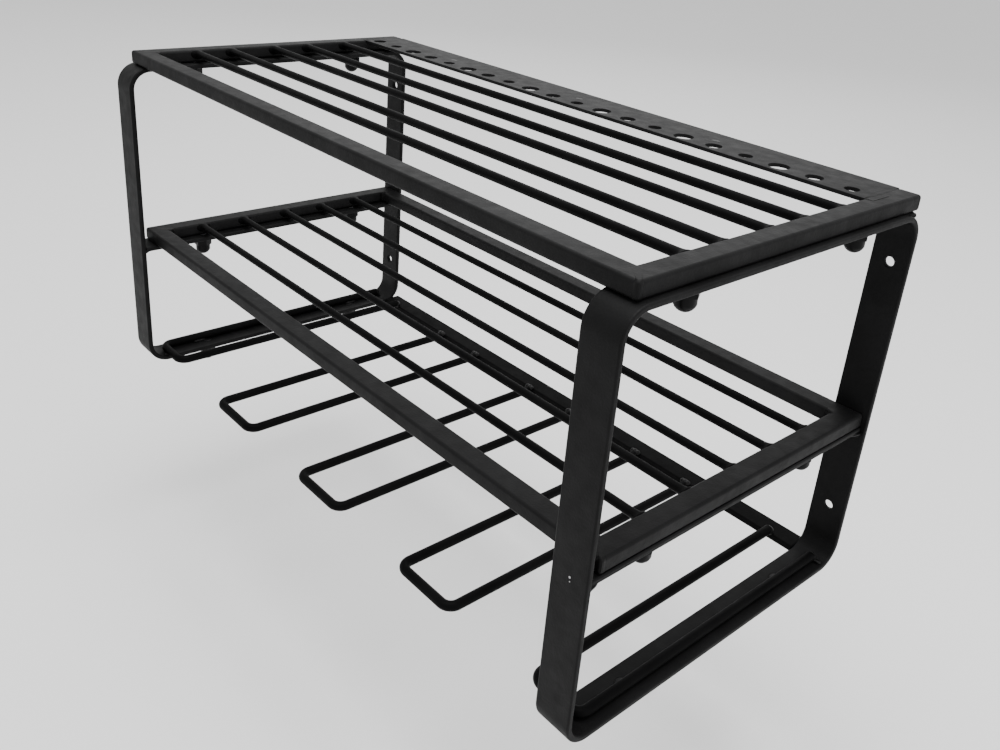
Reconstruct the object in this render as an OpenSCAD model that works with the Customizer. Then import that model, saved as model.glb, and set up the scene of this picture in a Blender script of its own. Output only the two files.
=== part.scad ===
// Wall rack for power tools: two wire shelves and a row of hanger loops
// between two bent flat-strap side loops. Millimetres, +Z up, wall at y = 0,
// front towards -Y, origin at the centre of the four wall screw holes.

/* [Side loops] */
// Width over both side loops
loop_span = 436; // [400:1:520]
// Depth of a side loop, from the wall to its front face
loop_d = 211; // [208:1:230]
// Height of a side loop
loop_h = 206; // [200:1:240]
// Width of the flat strap
strap_w = 20; // [18:1:24]
// Thickness of the flat strap
strap_t = 3; // [2.5:0.5:4]
// Outer radius of the strap's bends
strap_bend_r = 14; // [10:1:18]

/* [Wall screw holes] */
// Diameter of a wall screw hole
wall_hole_d = 5; // [4:0.5:6]
// Height between the upper and lower wall screw holes
wall_hole_rise = 144; // [130:1:150]
// Depth of the upper wall screw holes below the top of the side loops
wall_hole_drop = 28; // [24:1:32]

/* [Shelf frames] */
// Width over the end bars of a shelf
shelf_w = 430; // [390:1:434]
// Width of a shelf bar, seen from above
bar_w = 12; // [10:1:14]
// Height of a shelf bar
bar_h = 8; // [6:1:10]
// Distance from the top shelf's front edge back from the loops' front face
top_setback = 9; // [6:1:12]
// Distance from the middle shelf's front edge back from the loops' front face
middle_setback = 10; // [6:1:12]
// Height from the middle shelf's top to the top shelf's top
shelf_gap = 119; // [100:1:130]

// Width of the cross strap under the middle shelf
cross_strap_w = 18; // [16:1:20]
// Diameter of a shelf wire
wire_d = 4.5; // [4:0.5:6]

/* [Tool strip] */
// Depth of the perforated strip, from the wall
strip_d = 33; // [30:1:40]
// Thickness of the perforated strip
strip_t = 2; // [1.5:0.5:3]
// Distance from the wall to the row of tool holes
hole_row = 24.9; // [20:0.1:25]
// Spacing of the tool holes
hole_pitch = 20.5; // [18:0.5:24]
// Distance from the strip's left end to the first tool hole
hole_start = 5.5; // [5.5:0.5:9]
// Diameter of the medium tool holes
hole_medium = 9; // [8:0.5:10]
// Diameter of the small tool holes
hole_small = 7.5; // [6:0.5:8]
// Diameter of the large tool holes
hole_large = 11; // [10:0.5:11.5]

/* [Hanger tier] */
// Diameter of the hanger wire
hanger_d = 5.5; // [5:0.5:7]
// Centre-line radius of the hanger wire's bends
hanger_bend_r = 6; // [5:0.5:8]
// Distance from the wall to the front of the inner hanger loops
hanger_reach = 200; // [180:1:204]
// Distance between the two legs of an inner hanger loop, on centres
hanger_leg_gap = 41; // [36:1:48]
// Spacing of the inner hanger loops, on centres
hanger_pitch = 101; // [90:1:104]
// Distance from the wall to the front of the two outer hangers
ring_reach = 199; // [180:1:204]
// Distance from the middle of the rack to an outer hanger's inner leg
ring_inner_x = 182; // [176:1:184]
// Distance from the middle of the rack to an outer hanger's outer leg
ring_outer_x = 210.5; // [205:0.5:212]
// Depth of the rear bar, from the wall
rear_bar_d = 13; // [10:1:14]
// Thickness of the rear bar
rear_bar_t = 4; // [3:0.5:5]

/* [Fasteners] */
// Diameter of a weld stud
stud_d = 6; // [5:1:6]
// Distance from the wall to the rear fasteners
rear_stud_y = 42.5; // [35:0.5:60]
// Distance from the wall to the front fasteners
front_stud_y = 164.5; // [140:0.5:175]
// Distance from the middle of the rack to the top and bottom fasteners
stud_x = 208; // [207:0.5:210]
// Distance from the middle of the rack to the middle fasteners
middle_stud_x = 206.5; // [206:0.5:208]
// Width across the flats of a cap nut
nut_flats = 10; // [10:0.5:11]
// Height of a cap nut's hexagon
nut_hex_h = 5; // [4:0.5:6]
// Diameter of a cap nut's dome
nut_dome_d = 9.5; // [9:0.1:9.5]
// Height of a cap nut over its dome
nut_h = 12; // [11:0.5:13]

/* [Hidden] */
$fn = 48;
// Distances from the wall to the wires, from the back to the front.
top_wire_places = [52, 82, 107.5, 139, 163];
middle_wire_places = [41, 71, 101, 134, 165];
top_wires = [for (i = [1:len(top_wire_places)]) str("top_wire_", i)];
middle_wires = [for (i = [1:len(middle_wire_places)]) str("middle_wire_", i)];

// Heights, measured from the middle of the wall screw pattern.
loop_top = wall_hole_rise / 2 + wall_hole_drop;
loop_bottom = loop_top - loop_h;
top_shelf_z = loop_top + bar_h;
middle_shelf_z = top_shelf_z - shelf_gap;
middle_strap_z = middle_shelf_z - bar_h;
// Places across the rack.
strap_x = loop_span / 2 - strap_w;
wall_hole_x = loop_span / 2 - strap_w / 2;
end_bar_x = shelf_w / 2 - bar_w;
cross_strap_x = shelf_w / 2 + 0.5 - cross_strap_w;
// Places in depth.
top_front_y = -loop_d + top_setback;
middle_front_y = -loop_d + middle_setback;
// The hanger tier's levels.
hanger_z = loop_bottom + rear_bar_t / 2;
ring_z = loop_bottom + strap_t + hanger_d / 2;
// The tool holes, medium, small and large in turn.
hole_sizes = [hole_medium, hole_small, hole_large];
strip_w = 2 * end_bar_x;
hole_count = floor((strip_w - 2 * hole_start) / hole_pitch) + 1;
// Clearances round the studs.
stud_hole_d = stud_d + 0.5;
nut_bore_d = stud_d + 0.1;
stud_grip = 6;
nut_bore_h = 8;
// Height of the rounded end of a cap nut's dome.
nut_crown_h = 3.6;

// ---- Shared shapes ----

// A quarter bend of strap about local Z, with its outer face at radius strap_bend_r.
module strap_bend(at, start) {
    translate(at)
        rotate([0, 0, start])
            rotate_extrude(angle = 90)
                translate([strap_bend_r - strap_t, 0])
                    square([strap_t, strap_w]);
}

// Fastener places on the right-hand side of a tier: one rear, one front.
module at_right_studs(x, z) {
    for (y = [rear_stud_y, front_stud_y])
        translate([x, -y, z])
            children();
}

// The same four fastener places on both sides of a tier.
module at_studs(x, z) {
    at_right_studs(x, z) children();
    mirror([1, 0, 0]) at_right_studs(x, z) children();
}

// The right-hand side loop: flat strap bent into a closed rounded rectangle.
module side_loop() {
    r = strap_bend_r;
    flat_d = loop_d - 2 * r;
    flat_h = loop_h - 2 * r;
    difference() {
        translate([strap_x, 0, 0])
            rotate([90, 0, 90])
                union() {
                    for (v = [loop_bottom, loop_top - strap_t])
                        translate([-loop_d + r, v, 0])
                            cube([flat_d, strap_t, strap_w]);
                    for (u = [-loop_d, -strap_t])
                        translate([u, loop_bottom + r, 0])
                            cube([strap_t, flat_h, strap_w]);
                    strap_bend([-r, loop_top - r, 0], 0);
                    strap_bend([-loop_d + r, loop_top - r, 0], 90);
                    strap_bend([-loop_d + r, loop_bottom + r, 0], 180);
                    strap_bend([-r, loop_bottom + r, 0], 270);
                }
        for (z = [-wall_hole_rise / 2, wall_hole_rise / 2])
            translate([wall_hole_x, 1, z])
                rotate([90, 0, 0])
                    cylinder(d = wall_hole_d, h = strap_t + 2);
        for (z = [loop_bottom, loop_top - strap_t])
            at_right_studs(stud_x, z - 1)
                cylinder(d = stud_hole_d, h = strap_t + 2);
    }
}

// The right-hand cross strap under the middle shelf, between the loop's uprights.
module middle_strap() {
    difference() {
        translate([cross_strap_x, -loop_d + strap_t, middle_strap_z - strap_t])
            cube([cross_strap_w, loop_d - 2 * strap_t, strap_t]);
        at_right_studs(middle_stud_x, middle_strap_z - strap_t - 1)
            cylinder(d = stud_hole_d, h = strap_t + 2);
    }
}

// A shelf bar drawn in plan, with its mitred ends, below the height top.
module plan_bar(outline, top) {
    translate([0, 0, top - bar_h])
        linear_extrude(bar_h)
            polygon(outline);
}

module shelf_front_bar(front, top) {
    plan_bar([[-shelf_w / 2, front], [shelf_w / 2, front],
              [end_bar_x, front + bar_w], [-end_bar_x, front + bar_w]], top);
}

// One wire of a shelf, butted between the end bars with its top level with them.
module shelf_wire(y, top) {
    translate([-end_bar_x, y, top - wire_d / 2])
        rotate([0, 90, 0])
            cylinder(d = wire_d, h = 2 * end_bar_x);
}

// A straight length of hanger wire running back from its front end.
module hanger_leg(x, front, back, z) {
    translate([x, back, z])
        rotate([90, 0, 0])
            cylinder(d = hanger_d, h = back - front);
}

module hanger_cross(x0, x1, y, z) {
    translate([x0, y, z])
        rotate([0, 90, 0])
            cylinder(d = hanger_d, h = x1 - x0);
}

module hanger_bend(x, y, z, start) {
    translate([x, y, z])
        rotate([0, 0, start])
            rotate_extrude(angle = 90)
                translate([hanger_bend_r, 0])
                    circle(d = hanger_d);
}

// An open hanger loop: two legs welded to the rear bar's edge, joined at the front.
module hanger_loop(centre) {
    r = hanger_bend_r;
    x0 = centre - hanger_leg_gap / 2;
    x1 = centre + hanger_leg_gap / 2;
    front = -hanger_reach + hanger_d / 2;
    hanger_leg(x0, front + r, -rear_bar_d, hanger_z);
    hanger_leg(x1, front + r, -rear_bar_d, hanger_z);
    hanger_cross(x0 + r, x1 - r, front, hanger_z);
    hanger_bend(x0 + r, front + r, hanger_z, 180);
    hanger_bend(x1 - r, front + r, hanger_z, 270);
}

// The right-hand outer hanger: its inner leg meets the rear bar and its outer leg
// lies along the side loop's bottom leg.
module hanger_ring() {
    r = hanger_bend_r;
    x0 = ring_inner_x;
    x1 = ring_outer_x;
    front = -ring_reach + hanger_d / 2;
    hanger_leg(x0, front + r, -rear_bar_d, ring_z);
    hanger_leg(x1, front + r, -strap_bend_r, ring_z);
    hanger_cross(x0 + r, x1 - r, front, ring_z);
    hanger_bend(x0 + r, front + r, ring_z, 180);
    hanger_bend(x1 - r, front + r, ring_z, 270);
}

// A hexagon cap nut with a tall dome and a blind bore, its flat face up at z = 0.
module cap_nut() {
    crown_r = (pow(nut_dome_d / 2, 2) + pow(nut_crown_h, 2)) / (2 * nut_crown_h);
    difference() {
        union() {
            translate([0, 0, -nut_hex_h])
                cylinder(d = nut_flats / cos(30), h = nut_hex_h, $fn = 6);
            intersection() {
                translate([0, 0, -nut_h])
                    cylinder(d = nut_dome_d, h = nut_h - 1);
                translate([0, 0, -nut_h + crown_r])
                    union() {
                        sphere(r = crown_r);
                        cylinder(r = crown_r, h = nut_h);
                    }
            }
        }
        translate([0, 0, -nut_bore_h])
            cylinder(d = nut_bore_d, h = nut_bore_h + 1);
    }
}

// A weld stud hanging from the piece above the strap, through the strap into the nut.
module stud() {
    length = strap_t + stud_grip;
    translate([0, 0, -length])
        cylinder(d = stud_d, h = length);
}

// ---- Sub-parts ----

module left_side_loop() {
    color("#1b1b1c") mirror([1, 0, 0]) side_loop();
}

module right_side_loop() {
    color("#1b1b1c") side_loop();
}

module left_middle_strap() {
    color("#1b1b1c") mirror([1, 0, 0]) middle_strap();
}

module right_middle_strap() {
    color("#1b1b1c") middle_strap();
}

module top_front_bar() {
    color("#222223") shelf_front_bar(top_front_y, top_shelf_z);
}

// The top shelf's end bars run square to the wall and carry the tool strip.
module top_right_end_bar() {
    color("#222223")
        plan_bar([[shelf_w / 2, top_front_y], [shelf_w / 2, 0],
                  [end_bar_x, 0], [end_bar_x, top_front_y + bar_w]], top_shelf_z);
}

module top_left_end_bar() {
    mirror([1, 0, 0]) top_right_end_bar();
}

module tool_strip() {
    color("#222223")
        difference() {
            translate([-end_bar_x, -strip_d, top_shelf_z - strip_t])
                cube([strip_w, strip_d, strip_t]);
            for (i = [0:hole_count - 1])
                translate([-end_bar_x + hole_start + i * hole_pitch, -hole_row,
                           top_shelf_z - strip_t - 1])
                    cylinder(d = hole_sizes[i % 3], h = strip_t + 2);
        }
}

module top_wire(i) {
    color("#141415") shelf_wire(-top_wire_places[i - 1], top_shelf_z);
}

module middle_front_bar() {
    color("#222223") shelf_front_bar(middle_front_y, middle_shelf_z);
}

module middle_back_bar() {
    color("#222223")
        plan_bar([[-shelf_w / 2, -strap_t], [shelf_w / 2, -strap_t],
                  [end_bar_x, -strap_t - bar_w], [-end_bar_x, -strap_t - bar_w]],
                 middle_shelf_z);
}

module middle_right_end_bar() {
    color("#222223")
        plan_bar([[shelf_w / 2, middle_front_y], [shelf_w / 2, -strap_t],
                  [end_bar_x, -strap_t - bar_w], [end_bar_x, middle_front_y + bar_w]],
                 middle_shelf_z);
}

module middle_left_end_bar() {
    mirror([1, 0, 0]) middle_right_end_bar();
}

module middle_wire(i) {
    color("#141415") shelf_wire(-middle_wire_places[i - 1], middle_shelf_z);
}

// The flat rear bar, between the side loops along the wall.
module hanger_rear_bar() {
    color("#1b1b1c")
        translate([-strap_x, -rear_bar_d, loop_bottom])
            cube([2 * strap_x, rear_bar_d, rear_bar_t]);
}

module right_hanger_ring() {
    color("#141415") hanger_ring();
}

module left_hanger_ring() {
    mirror([1, 0, 0]) right_hanger_ring();
}

module hanger_loop_number(i) {
    color("#141415") hanger_loop((i - 2) * hanger_pitch);
}

module top_studs() {
    color("#5a5a5c") at_studs(stud_x, loop_top) stud();
}

module middle_studs() {
    color("#5a5a5c") at_studs(middle_stud_x, middle_strap_z) stud();
}

module bottom_studs() {
    color("#5a5a5c") at_studs(stud_x, loop_bottom + strap_t) stud();
}

module top_cap_nuts() {
    color("#101011") at_studs(stud_x, loop_top - strap_t) cap_nut();
}

module middle_cap_nuts() {
    color("#101011") at_studs(middle_stud_x, middle_strap_z - strap_t) cap_nut();
}

module bottom_cap_nuts() {
    color("#101011") at_studs(stud_x, loop_bottom) cap_nut();
}

left_side_loop();
right_side_loop();
left_middle_strap();
right_middle_strap();
top_front_bar();
top_left_end_bar();
top_right_end_bar();
tool_strip();
for (i = [1:len(top_wire_places)])
    top_wire(i);
middle_front_bar();
middle_back_bar();
middle_left_end_bar();
middle_right_end_bar();
for (i = [1:len(middle_wire_places)])
    middle_wire(i);
hanger_rear_bar();
left_hanger_ring();
for (i = [1:3])
    hanger_loop_number(i);
right_hanger_ring();
top_studs();
middle_studs();
bottom_studs();
top_cap_nuts();
middle_cap_nuts();
bottom_cap_nuts();
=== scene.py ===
import math
import bmesh
import bpy
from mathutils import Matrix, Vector


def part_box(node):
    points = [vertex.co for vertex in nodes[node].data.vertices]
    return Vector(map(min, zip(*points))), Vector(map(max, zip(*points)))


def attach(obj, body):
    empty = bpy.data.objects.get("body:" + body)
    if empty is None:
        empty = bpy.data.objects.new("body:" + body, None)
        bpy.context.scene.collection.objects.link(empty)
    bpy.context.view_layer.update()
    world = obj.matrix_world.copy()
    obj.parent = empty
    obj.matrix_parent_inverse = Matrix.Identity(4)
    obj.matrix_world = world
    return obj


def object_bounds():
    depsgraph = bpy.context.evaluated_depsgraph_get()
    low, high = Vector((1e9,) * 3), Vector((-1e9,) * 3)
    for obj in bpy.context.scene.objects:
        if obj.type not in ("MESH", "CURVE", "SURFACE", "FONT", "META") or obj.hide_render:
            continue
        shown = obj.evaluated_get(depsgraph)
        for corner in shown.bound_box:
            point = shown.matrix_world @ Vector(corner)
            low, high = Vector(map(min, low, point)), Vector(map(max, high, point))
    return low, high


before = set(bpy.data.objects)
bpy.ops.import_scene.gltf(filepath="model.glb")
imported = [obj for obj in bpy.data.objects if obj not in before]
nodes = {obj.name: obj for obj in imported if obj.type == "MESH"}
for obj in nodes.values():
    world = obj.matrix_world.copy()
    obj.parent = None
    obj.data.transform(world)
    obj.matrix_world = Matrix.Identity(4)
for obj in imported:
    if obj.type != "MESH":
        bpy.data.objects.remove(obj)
cad_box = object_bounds()

MM = 0.001
X, Y, Z = 0, 1, 2

# Rounding of the edges of each kind of piece.
BAR_EDGE = 1.6 * MM
STRAP_EDGE = 0.9 * MM
STRIP_EDGE = 0.3 * MM
NUT_EDGE = 0.35 * MM

# How far a weld sinks into the pieces that it joins.
SINK = 0.3 * MM

WIRES = [n for n in nodes if "wire" in n or "hanger_loop" in n or "ring" in n]
STUDS = [n for n in nodes if n.endswith("studs")]
NUTS = [n for n in nodes if n.endswith("nuts")]
PLATES = [n for n in nodes if n not in WIRES + STUDS + NUTS]
TIERS = ("top", "middle")
SIDES = (-1, 1)


def lo(name, axis):
    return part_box(name)[0][axis]


def hi(name, axis):
    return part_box(name)[1][axis]


def mid(name, axis):
    return (lo(name, axis) + hi(name, axis)) / 2


# ---- Camera ----

cam_data = bpy.data.cameras.new("camera")
cam_data.sensor_width = 36
cam_data.lens = 35.37
cam_data.shift_x = -0.020
cam_data.shift_y = -0.080
cam_data.clip_start = 0.01
cam_data.dof.use_dof = False
cam = bpy.data.objects.new("camera", cam_data)
cam.location = (0.4108, -0.4473, 0.2351)
cam.rotation_euler = [math.radians(a) for a in (66.32, -4.72, 48.05)]
bpy.context.scene.collection.objects.link(cam)
bpy.context.scene.camera = cam


# ---- Materials ----

def coat(name, dark, pale, rough, peel, ior, peel_scale=900):
    """Powder-coated steel: faint mottling from dark to pale, uneven gloss and an orange-peel skin."""
    mat = bpy.data.materials.new(name)
    mat.use_nodes = True
    tree = mat.node_tree
    shader = tree.nodes["Principled BSDF"]
    shader.inputs["IOR"].default_value = ior
    place = tree.nodes.new("ShaderNodeTexCoord")

    def noise(scale, detail):
        node = tree.nodes.new("ShaderNodeTexNoise")
        node.inputs["Scale"].default_value = scale
        node.inputs["Detail"].default_value = detail
        tree.links.new(place.outputs["Object"], node.inputs["Vector"])
        return node.outputs["Fac"]

    tint = tree.nodes.new("ShaderNodeValToRGB")
    low, high = tint.color_ramp.elements
    low.position = 0.34
    low.color = (*dark, 1)
    high.position = 0.68
    high.color = (*pale, 1)
    tree.links.new(noise(38, 4), tint.inputs["Fac"])
    tree.links.new(tint.outputs["Color"], shader.inputs["Base Color"])

    gloss = tree.nodes.new("ShaderNodeMapRange")
    gloss.inputs["From Min"].default_value = 0.3
    gloss.inputs["From Max"].default_value = 0.7
    gloss.inputs["To Min"].default_value = rough - 0.05
    gloss.inputs["To Max"].default_value = rough + 0.05
    tree.links.new(noise(160, 3), gloss.inputs["Value"])
    tree.links.new(gloss.outputs["Result"], shader.inputs["Roughness"])

    # The skin is a fine ripple with a broader one added to it.
    skin = tree.nodes.new("ShaderNodeMath")
    skin.operation = "MULTIPLY_ADD"
    skin.inputs[1].default_value = 1.6
    tree.links.new(noise(peel_scale / 6, 1), skin.inputs[0])
    tree.links.new(noise(peel_scale, 2), skin.inputs[2])
    bump = tree.nodes.new("ShaderNodeBump")
    bump.inputs["Strength"].default_value = peel
    bump.inputs["Distance"].default_value = 0.0002
    tree.links.new(skin.outputs["Value"], bump.inputs["Height"])
    tree.links.new(bump.outputs["Normal"], shader.inputs["Normal"])
    return mat


frame_paint = coat("frame_paint", (0.0034, 0.0034, 0.0035), (0.0064, 0.0064, 0.0066),
                   rough=0.54, peel=0.45, ior=1.18)
# Painted shade: the rear bar gets a darker, duller copy of the frame paint, which stands in for the
# shadow the shelves above cast on it and for the dark surroundings it would reflect.
rear_painted_shade = coat("rear_painted_shade", (0.0024, 0.0024, 0.0025), (0.0042, 0.0042, 0.0043),
                  rough=0.64, peel=0.5, ior=1.10)
wire_paint = coat("wire_paint", (0.0018, 0.0018, 0.0019), (0.0034, 0.0034, 0.0035),
                  rough=0.48, peel=0.3, ior=1.10)
nut_black = coat("nut_black", (0.0018, 0.0018, 0.0019), (0.0032, 0.0032, 0.0033),
                 rough=0.32, peel=0.15, ior=1.18)
weld_paint = coat("weld_paint", (0.0024, 0.0024, 0.0025), (0.0048, 0.0048, 0.0049),
                  rough=0.38, peel=0.6, ior=1.22, peel_scale=500)

stud_steel = bpy.data.materials.new("stud_steel")
stud_steel.use_nodes = True
steel = stud_steel.node_tree.nodes["Principled BSDF"]
steel.inputs["Metallic"].default_value = 1.0
steel.inputs["Base Color"].default_value = (0.45, 0.45, 0.46, 1)
steel.inputs["Roughness"].default_value = 0.4


def dress(names, mat):
    for name in names:
        mesh = nodes[name].data
        mesh.materials.clear()
        mesh.materials.append(mat)


dress(PLATES, frame_paint)
dress(WIRES, wire_paint)
dress(NUTS, nut_black)
dress(STUDS, stud_steel)
# Painted shade: the rear bar wears the darker, duller copy of the frame paint.
dress(["hanger_rear_bar"], rear_painted_shade)
dress(["bottom_studs"], frame_paint)


# ---- Stage ----

FLOOR_DROP = 0.13

bpy.ops.mesh.primitive_plane_add(size=60, location=(0, 0, cad_box[0].z - FLOOR_DROP))
floor = bpy.context.object
floor.name = "floor"
pale_floor = bpy.data.materials.new("pale_floor")
pale_floor.use_nodes = True
pale_shader = pale_floor.node_tree.nodes["Principled BSDF"]
pale_shader.inputs["Base Color"].default_value = (0.76, 0.76, 0.76, 1)
pale_shader.inputs["Roughness"].default_value = 0.9
floor.data.materials.append(pale_floor)

world = bpy.data.worlds.new("world")
world.use_nodes = True
sky = world.node_tree.nodes["Background"]
sky.inputs["Color"].default_value = (0.9, 0.9, 0.9, 1)
sky.inputs["Strength"].default_value = 1.2
bpy.context.scene.world = world


def softbox(name, place, target, width, height, watts):
    data = bpy.data.lights.new(name, "AREA")
    data.shape = "RECTANGLE"
    data.size = width
    data.size_y = height
    data.energy = watts
    ob = bpy.data.objects.new(name, data)
    ob.location = place
    ob.rotation_euler = (Vector(target) - Vector(place)).to_track_quat("-Z", "Y").to_euler()
    bpy.context.scene.collection.objects.link(ob)


softbox("back_light", (-1.3, 1.3, 1.1), (0, -0.1, 0.05), 1.6, 1.0, 8)
softbox("side_light", (1.7, 0.1, 0.7), (0.1, -0.1, 0), 0.8, 0.8, 9)
softbox("top_light", (0.1, -0.2, 1.6), (0, -0.1, 0), 1.2, 1.0, 40)


# ---- Softened edges ----

def level(ob):
    """Keep flat faces flat next to rounded edges."""
    normals = ob.modifiers.new("level", "WEIGHTED_NORMAL")
    normals.mode = "FACE_AREA"
    normals.weight = 80
    normals.keep_sharp = False


def soften(ob, width, segments):
    """Round the edges that turn by more than 32 degrees."""
    join = ob.modifiers.new("join", "WELD")
    join.merge_threshold = 0.02 * MM
    edge = ob.modifiers.new("edge", "BEVEL")
    edge.width = width
    edge.segments = segments
    edge.limit_method = "ANGLE"
    edge.angle_limit = math.radians(32)
    edge.loop_slide = False
    edge.use_clamp_overlap = True
    level(ob)


def edge_width(name):
    if name == "tool_strip":
        return STRIP_EDGE
    if name.endswith("_bar") and name != "hanger_rear_bar":
        return BAR_EDGE
    return STRAP_EDGE


for name in PLATES:
    soften(nodes[name], edge_width(name), 4)
for name in NUTS:
    soften(nodes[name], NUT_EDGE, 2)


# ---- Tools for the added pieces ----

def piece(name, verts, faces, mat):
    mesh = bpy.data.meshes.new(name)
    mesh.from_pydata(verts, [], faces)
    mesh.validate()
    bm = bmesh.new()
    bm.from_mesh(mesh)
    bmesh.ops.recalc_face_normals(bm, faces=bm.faces)
    bm.to_mesh(mesh)
    bm.free()
    for face in mesh.polygons:
        face.use_smooth = True
    ob = bpy.data.objects.new(name, mesh)
    bpy.context.scene.collection.objects.link(ob)
    ob.data.materials.append(mat)
    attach(ob, "root")
    return ob


class Batch:
    """Closed meshes, each lofted through rings of points, gathered into one object."""

    def __init__(self):
        self.verts = []
        self.faces = []

    def loft(self, rings):
        start = len(self.verts)
        n = len(rings[0])
        for ring in rings:
            self.verts.extend(ring)
        for i in range(len(rings) - 1):
            a = start + i * n
            for j in range(n):
                k = (j + 1) % n
                self.faces.append((a + j, a + k, a + n + k, a + n + j))
        last = start + (len(rings) - 1) * n
        self.faces.append(tuple(start + j for j in range(n)))
        self.faces.append(tuple(last + j for j in range(n)))

    def bead(self, a, b, width, height, ripples):
        """A ripply weld bead from a to b; width and height are its half sizes in millimetres."""
        a, b = Vector(a), Vector(b)
        along = (b - a).normalized()
        side = along.cross(Vector((0, 0, 1))).normalized() * width * MM
        up = side.cross(along).normalized() * height * MM
        # Beads at different places start their ripples at different points.
        phase = 900 * a.x
        steps = 28
        sectors = 14
        rings = []
        for i in range(steps + 1):
            t = i / steps
            end = max(0.02, 1 - abs(2 * t - 1) ** 3) ** 0.5
            swell = end * (1 + 0.10 * math.sin(2 * math.pi * ripples * t + phase))
            ring = []
            for j in range(sectors):
                w = 2 * math.pi * j / sectors
                ring.append(a.lerp(b, t) + (side * math.cos(w) + up * math.sin(w)) * swell)
            rings.append(ring)
        self.loft(rings)

    def fillet(self, x0, x1, y, z, dy, reach, depth):
        """A fillet weld along X in the corner at y, z: it reaches along the face above to the dy
        side, and goes down the upright face by depth."""
        steps = 26
        rings = []
        for i in range(steps + 1):
            t = i / steps
            end = max(0.05, 1 - abs(2 * t - 1) ** 9) ** 0.5
            swell = end * (1 + 0.05 * math.sin(38 * t))
            leg = reach * swell
            drop = depth * swell
            x = x0 + (x1 - x0) * t
            ring = [(x, y - dy * SINK, z + SINK), (x, y + dy * leg, z + SINK)]
            for j in range(7):
                a = math.pi / 2 * j / 6
                bulge = 0.80 + 0.20 * abs(math.cos(2 * a))
                ring.append((x, y + dy * leg * bulge * math.cos(a) ** 1.3,
                             z - drop * bulge * math.sin(a) ** 1.3))
            ring.append((x, y - dy * SINK, z - drop))
            rings.append(ring)
        self.loft(rings)

    def blob(self, centre, a, b, c):
        """A rounded lump of weld; a, b and c are its half sizes in millimetres."""
        levels = 10
        sectors = 16
        rings = []
        for i in range(levels + 1):
            v = math.pi * (0.02 + 0.96 * i / levels) - math.pi / 2
            ring = []
            for j in range(sectors):
                w = 2 * math.pi * j / sectors
                ring.append(Vector(centre) + Vector((a * math.cos(v) * math.cos(w),
                                                     b * math.cos(v) * math.sin(w),
                                                     c * math.sin(v))) * MM)
            rings.append(ring)
        self.loft(rings)

    def build(self, name, mat):
        return piece(name, [tuple(v) for v in self.verts], self.faces, mat)


# ---- Welds of the shelf wires ----

def wire_fillet(batch, face, side, y, z, radius):
    """A concave fillet round the end of a wire, flaring out to the end bar's face."""
    reach = 4.4 * MM
    root = 0.9 * MM
    steps = 8
    sectors = 24
    rings = []
    for i in range(-1, steps + 1):
        t = max(0.0, i / steps)
        x = face - reach * t if i >= 0 else face + root
        flare = 1 - math.sqrt(max(0.0, 1 - (1 - t) ** 2))
        skin = radius + (0.03 - 0.07 * t) * MM
        ring = []
        for j in range(sectors):
            w = 2 * math.pi * j / sectors
            wide = skin + 2.7 * MM * flare
            tall = skin + (1.3 * MM * flare if math.sin(w) < 0 else 0)
            ring.append((side * x, y + wide * math.cos(w), z + tall * math.sin(w)))
        rings.append(ring)
    batch.loft(rings)


for tier in TIERS:
    batch = Batch()
    for name in sorted(nodes):
        if name.startswith(tier + "_wire"):
            radius = (hi(name, Y) - lo(name, Y)) / 2
            for side in SIDES:
                wire_fillet(batch, lo(tier + "_right_end_bar", X), side,
                            mid(name, Y), mid(name, Z), radius)
    batch.build(tier + "_wire_fillets", wire_paint)


# ---- Welds of the hanger tier ----

def loop_welds(batch, name, radius):
    """Beads above and below each leg of a hanger loop, at the rear bar's front edge."""
    edge = lo("hanger_rear_bar", Y)
    top = hi("hanger_rear_bar", Z)
    for x in (lo(name, X) + radius, hi(name, X) - radius):
        batch.bead((x - 3.6 * MM, edge - 0.3 * MM, top + 0.2 * MM),
                   (x + 3.6 * MM, edge - 0.3 * MM, top + 0.2 * MM), 1.9, 1.3, 3)
        batch.bead((x - 3.4 * MM, edge - 0.2 * MM, top - 4.1 * MM),
                   (x + 3.4 * MM, edge - 0.2 * MM, top - 4.1 * MM), 1.4, 0.9, 3)


def outer_loop_welds(batch, side, radius):
    """Welds of an outer hanger loop to the rear bar and to the side loop's bottom leg."""
    ring = "right_hanger_ring"
    inner = lo(ring, X) + radius
    outer = hi(ring, X) - radius
    z = mid(ring, Z)
    batch.blob((side * inner, lo("hanger_rear_bar", Y) + 0.2 * MM, z - 0.5 * MM), 3.3, 2.7, 2.7)
    batch.blob((side * outer, hi(ring, Y) - 0.2 * MM, z - 0.6 * MM), 2.9, 2.2, 2.4)

    # Three tacks along the outer leg, and one across its rear end.
    tack_x = side * (outer - 2.5 * MM)
    tack_z = z - 2.2 * MM
    for y in (-0.170, -0.104, -0.040):
        batch.bead((tack_x, y - 4.5 * MM, tack_z), (tack_x, y + 4.5 * MM, tack_z), 1.4, 1.1, 3)
    rear_y = hi(ring, Y) + 0.5 * MM
    rear_z = z - 1.9 * MM
    batch.bead((side * (outer - 4 * MM), rear_y, rear_z),
               (side * (outer + 6 * MM), rear_y, rear_z), 1.7, 1.3, 3)

    # Low lumps over the studs' ends, on the side loop's bottom leg.
    studs = "bottom_studs"
    stud_r = 3 * MM
    for y in (hi(studs, Y) - stud_r, lo(studs, Y) + stud_r):
        batch.blob((side * (hi(studs, X) - stud_r), y, z - radius), 3.7, 3.7, 0.6)

    # A flat bead where the loop's front crosses that leg's inner edge.
    leg_edge = lo("right_side_loop", X)
    front_y = lo(ring, Y) + 2.7 * MM
    front_z = z - 2.5 * MM
    batch.bead((side * (leg_edge + 0.5 * MM), front_y, front_z),
               (side * (leg_edge + 5.5 * MM), front_y, front_z), 3.1, 0.9, 2)


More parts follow.
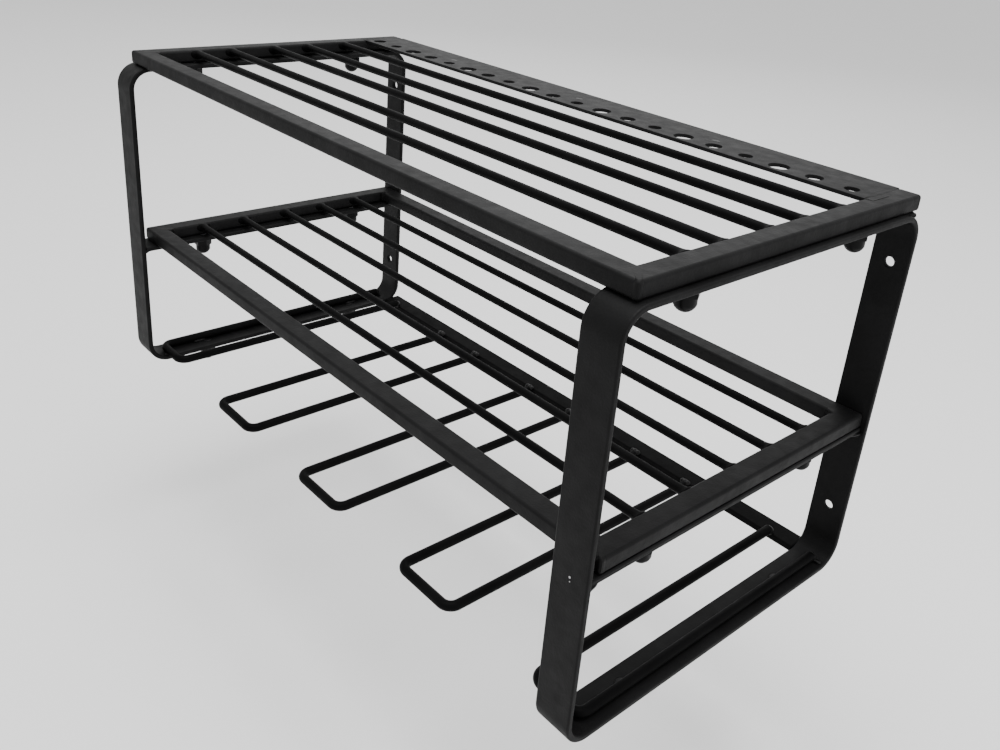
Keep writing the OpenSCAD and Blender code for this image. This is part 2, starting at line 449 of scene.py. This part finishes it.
batch = Batch()
hanger_r = (hi("hanger_loop_1", Z) - lo("hanger_loop_1", Z)) / 2
for name in ("hanger_loop_1", "hanger_loop_2", "hanger_loop_3"):
    loop_welds(batch, name, hanger_r)
for side in SIDES:
    outer_loop_welds(batch, side, hanger_r)
batch.build("hanger_welds", weld_paint)


# ---- Welds of the middle straps ----

# The fillets under the straps' ends are heavier on the right.
batch = Batch()
strap = "right_middle_strap"
for side, reach, depth in ((-1, 3.4 * MM, 1.8 * MM), (1, 8.0 * MM, 3.8 * MM)):
    x0 = side * (lo(strap, X) + 0.6 * MM)
    x1 = side * (hi(strap, X) + 0.9 * MM)
    batch.fillet(x0, x1, lo(strap, Y), lo(strap, Z), 1, reach, depth)
    batch.fillet(x0, x1, hi(strap, Y), lo(strap, Z), -1, reach, depth)
batch.build("strap_welds", weld_paint)

# Two specks of weld on the right front upright that the coat has worn off.
batch = Batch()
upright_edge = hi("right_side_loop", X)
upright_front = lo("right_side_loop", Y)
strap_z = mid(strap, Z)
batch.blob((upright_edge - 9.5 * MM, upright_front, strap_z + 1.9 * MM), 0.55, 0.3, 0.55)
batch.blob((upright_edge - 9.3 * MM, upright_front, strap_z - 0.1 * MM), 0.3, 0.15, 0.3)
batch.build("bare_weld_specks", stud_steel)


# ---- Seams of the shelf frames ----

def mitre(batch, end, front, inner_y, side):
    """A welded and ground band round the corner where the end bar meets the bar from front to
    inner_y, flush with both."""
    d = 1 if inner_y > front else -1
    side_face = hi(end, X)
    inner_x = lo(end, X)
    top = hi(end, Z)
    bottom = lo(end, Z)
    band = 2.7 * MM
    proud = 0.02 * MM
    quarter = [math.pi / 2 * i / 4 for i in range(5)]
    high = [(top + proud - BAR_EDGE * (1 - math.sin(a)), BAR_EDGE * (1 - math.cos(a)))
            for a in quarter]
    low = [(top + bottom - z, inset) for z, inset in reversed(high)]
    rings = []
    for z, inset in low + high:
        g = inset - proud
        r = BAR_EDGE - g
        ring = [(side_face - band, front + d * g)]
        for a in quarter:
            ring.append((side_face - BAR_EDGE + r * math.sin(a),
                         front + d * (BAR_EDGE - r * math.cos(a))))
        ring.append((side_face - g, front + d * band))
        ring.append((inner_x + g, inner_y + d * band))
        ring.append((inner_x + g, inner_y - d * g))
        ring.append((inner_x - band, inner_y - d * g))
        rings.append([(side * x, y, z) for x, y in ring])
    batch.loft(rings)


def strip_seams(batch, side):
    """The seam between the tool strip and an end bar, and the lapped plate's outline on the bar."""
    end = "top_right_end_bar"
    x = side * lo(end, X)
    z = hi(end, Z)
    edge = lo("tool_strip", Y)
    lap = x + side * 4.5 * MM
    seam_z = z - 0.45 * MM
    batch.bead((x, edge + 0.4 * MM, seam_z), (x, -0.3 * MM, seam_z), 2.0, 0.5, 5)
    batch.bead((x - side * 0.5 * MM, edge, z), (lap, edge, z), 0.6, 0.22, 2)
    batch.bead((lap, edge - 0.3 * MM, z), (lap, edge + 15 * MM, z), 0.55, 0.2, 4)


def rear_corner_weld(batch, side):
    """The bead that fills the gap between an end bar's rear end and the side loop's bend."""
    end = "top_right_end_bar"
    inner = side * (lo("right_side_loop", X) + 2 * MM)
    outer = side * (hi(end, X) + 1.2 * MM)
    y = -4.6 * MM
    z = lo(end, Z) - 1.7 * MM
    batch.bead((inner, y, z), (outer, y, z), 4.0, 2.1, 7)


for tier in TIERS:
    batch = Batch()
    end = tier + "_right_end_bar"
    corners = [(lo(tier + "_front_bar", Y), hi(tier + "_front_bar", Y))]
    if tier == "middle":
        corners.append((hi("middle_back_bar", Y), lo("middle_back_bar", Y)))
    for front, inner_y in corners:
        for side in SIDES:
            mitre(batch, end, front, inner_y, side)
    if tier == "top":
        for side in SIDES:
            strip_seams(batch, side)
            rear_corner_weld(batch, side)
    level(batch.build(tier + "_frame_seams", frame_paint))

# Shallow marks of spot welds on the tool strip.
batch = Batch()
for x in (-0.122, 0.0, 0.104):
    batch.blob((x, -0.0155, hi("tool_strip", Z) - 0.02 * MM), 2.6, 1.8, 0.22)
batch.build("strip_spot_marks", weld_paint)
